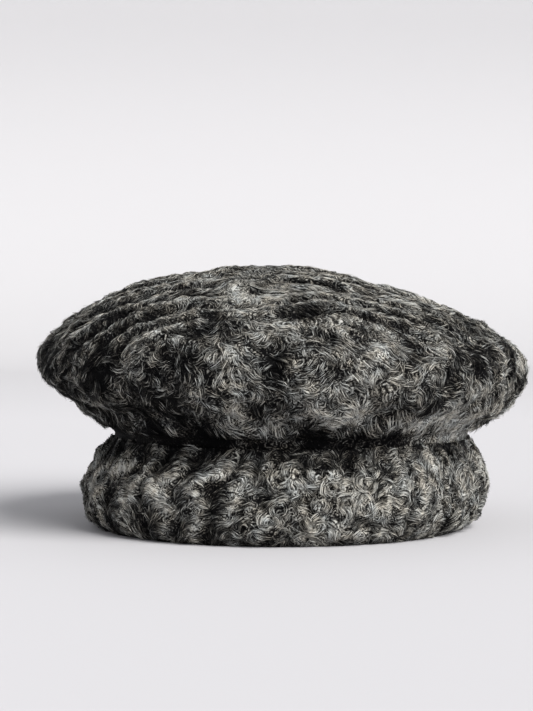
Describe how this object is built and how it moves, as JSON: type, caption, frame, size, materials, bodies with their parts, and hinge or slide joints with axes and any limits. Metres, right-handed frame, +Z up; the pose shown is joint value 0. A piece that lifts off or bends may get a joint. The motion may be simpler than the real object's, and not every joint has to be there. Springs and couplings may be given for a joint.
{
  "type": "kashmiri karakul cap",
  "caption": "Karakul lambskin cap with a wide domed crown of ridged curls, an overhanging rim and a turned-up curly cuff, open underneath for the head.",
  "frame": {"origin": "in the plane that the cuff's foot rests on, under the middle of the crown's rim", "axes": "+Z up through the crown, the front of the cap towards -Y, +Y along the longer way of the head, front to back"},
  "size_m": [0.2676, 0.285, 0.1431],
  "materials": {
    "top_pelt": "tight curled grey and black lamb's wool, soft sheen",
    "side_pelt": "swirled grey and black lamb's wool",
    "cuff_pelt": "lighter grey lamb's wool in upright pipe curls"
  },
  "bodies": {
    "root": {"crown_top": "top_pelt", "crown_side": "side_pelt", "cuff": "cuff_pelt"}
  },
  "joints": []
}
